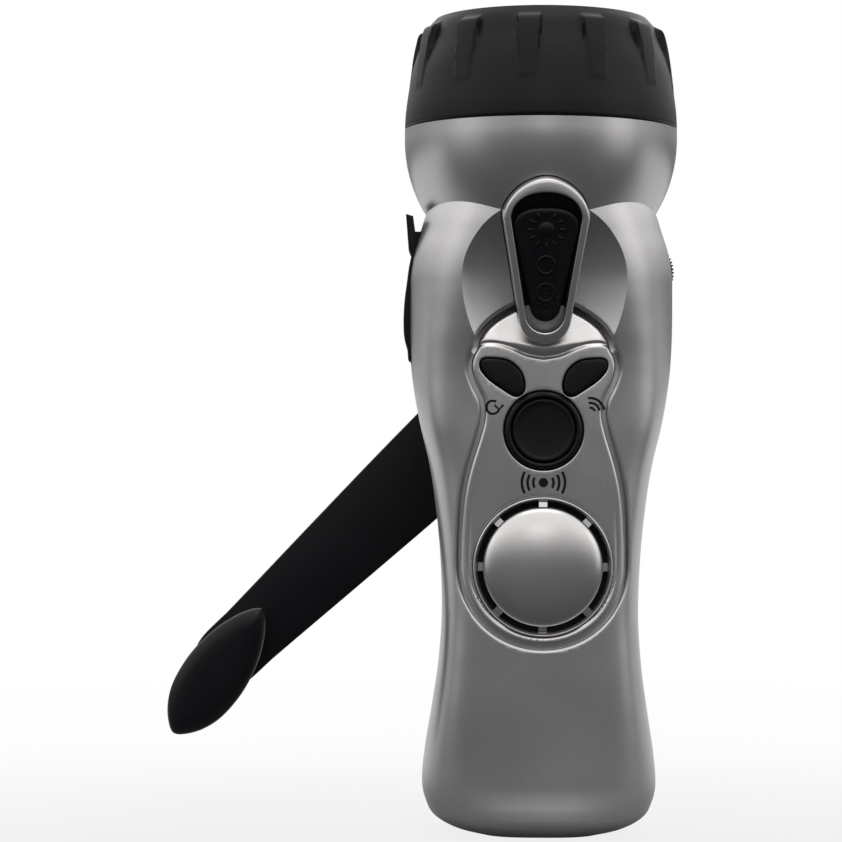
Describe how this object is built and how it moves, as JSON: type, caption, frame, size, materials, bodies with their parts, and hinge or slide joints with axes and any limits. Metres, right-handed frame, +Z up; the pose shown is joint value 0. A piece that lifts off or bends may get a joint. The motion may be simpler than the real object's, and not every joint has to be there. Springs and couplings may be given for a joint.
{
  "type": "hand-cranked flashlight",
  "caption": "Hand-cranked flashlight with a rocker switch, siren button, radio buttons, side volume wheel, socket cover and a folding crank behind the grip.",
  "frame": {"origin": "centre of the flat base it stands on", "axes": "+Z up along the handle to the lens, -Y out of the control panel, +Y out of the crank side"},
  "size_m": [0.1233, 0.0727, 0.19],
  "materials": {
    "silver_paint": "satin silver paint on plastic",
    "silver_trim": "glossier silver paint on plastic",
    "black_plastic": "fine matte grain",
    "black_rubber": "soft matte",
    "clear_plastic": "clear polished plastic",
    "chrome": "vacuum metallised",
    "steel": "plated",
    "nylon": "moulded natural nylon",
    "board": "solder-masked board",
    "cell": "sleeved cell"
  },
  "bodies": {
    "housing": {"front_shell": "silver_paint", "rear_shell": "silver_paint", "control_panel": "silver_trim", "switch_bezel": "silver_trim", "siren_grille": "silver_trim", "head_bezel": "black_plastic", "lens": "clear_plastic", "lens_gasket": "black_rubber", "reflector": "chrome", "led_board": "board", "led_1": "clear_plastic", "led_2": "clear_plastic", "led_3": "clear_plastic", "rocker_switch_body": "black_plastic", "alarm_collar": "black_plastic", "alarm_switch": "black_plastic", "reset_switch": "black_plastic", "scan_switch": "black_plastic", "control_board": "board", "radio_chip": "black_plastic", "earphone_socket": "black_plastic", "charge_socket": "black_plastic", "volume_pot": "black_plastic", "siren_cone": "black_plastic", "siren_speaker": "steel", "idler_axle": "steel", "dynamo_housing": "steel", "gear_plate": "nylon", "crank_bush": "nylon", "battery_cell_1": "cell", "battery_cell_2": "cell", "battery_cell_3": "cell", "shell_screw_low_left": "steel", "shell_screw_low_right": "steel", "shell_screw_middle_left": "steel", "shell_screw_middle_right": "steel", "shell_screw_high_left": "steel", "shell_screw_high_right": "steel", "plate_screw_left": "steel", "plate_screw_right": "steel", "plate_screw_top": "steel"},
    "crank": {"crank_hub": "black_plastic", "crank_shaft": "steel", "hub_screw": "steel", "hinge_pin": "steel", "drive_gear": "nylon"},
    "arm": {"crank_arm": "black_plastic", "knob_pin": "steel"},
    "knob": {"crank_knob": "black_plastic"},
    "idler": {"idler_gear": "nylon"},
    "rotor": {"dynamo_rotor": "steel"},
    "rocker": {"rocker": "black_plastic"},
    "alarm_key": {"alarm_button": "black_rubber"},
    "reset_key": {"reset_button": "black_rubber"},
    "scan_key": {"scan_button": "black_rubber"},
    "volume": {"volume_wheel": "black_plastic"},
    "cover": {"socket_cover": "black_rubber"}
  },
  "joints": [
    {"name": "crank_spin", "type": "hinge", "parent": "housing", "child": "crank", "pos_m": [0, 0.03, 0.1093], "axis": [0, 1, 0], "continuous": true},
    {"name": "crank_fold", "type": "hinge", "parent": "crank", "child": "arm", "pos_m": [0, 0.03575, 0.1093], "axis": [0.6903, 0, -0.7236], "range_deg": [0, 180]},
    {"name": "knob_spin", "type": "hinge", "parent": "arm", "child": "knob", "pos_m": [-0.07489, 0.0255, 0.03786], "axis": [0, 1, 0], "continuous": true},
    {"name": "idler_spin", "type": "hinge", "parent": "housing", "child": "idler", "pos_m": [0, 0.011, 0.08005], "axis": [0, 1, 0], "continuous": true},
    {"name": "rotor_spin", "type": "hinge", "parent": "housing", "child": "rotor", "pos_m": [0, 0.003, 0.0646], "axis": [0, 1, 0], "continuous": true},
    {"name": "rocker_tilt", "type": "hinge", "parent": "housing", "child": "rocker", "pos_m": [0, -0.02502, 0.13173], "axis": [1, 0, 0], "range_deg": [-7, 7]},
    {"name": "alarm_press", "type": "slide", "parent": "housing", "child": "alarm_key", "axis": [0, 1, 0], "range_m": [0, 0.0008], "stiffness_N_per_m": 400},
    {"name": "reset_press", "type": "slide", "parent": "housing", "child": "reset_key", "axis": [0, 1, 0], "range_m": [0, 0.0008], "stiffness_N_per_m": 400},
    {"name": "scan_press", "type": "slide", "parent": "housing", "child": "scan_key", "axis": [0, 1, 0], "range_m": [0, 0.0008], "stiffness_N_per_m": 400},
    {"name": "volume_turn", "type": "hinge", "parent": "housing", "child": "volume", "pos_m": [0.024, 0.0009, 0.131], "axis": [0, 1, 0], "range_deg": [-140, 140]},
    {"name": "cover_open", "type": "hinge", "parent": "housing", "child": "cover", "pos_m": [-0.0302, -0.0026, 0.1104], "axis": [0, -1, 0], "range_deg": [0, 100]}
  ],
  "couplings": [
    {"joint": "idler_spin", "follows": "crank_spin", "ratio": -4.8},
    {"joint": "rotor_spin", "follows": "crank_spin", "ratio": 18}
  ]
}
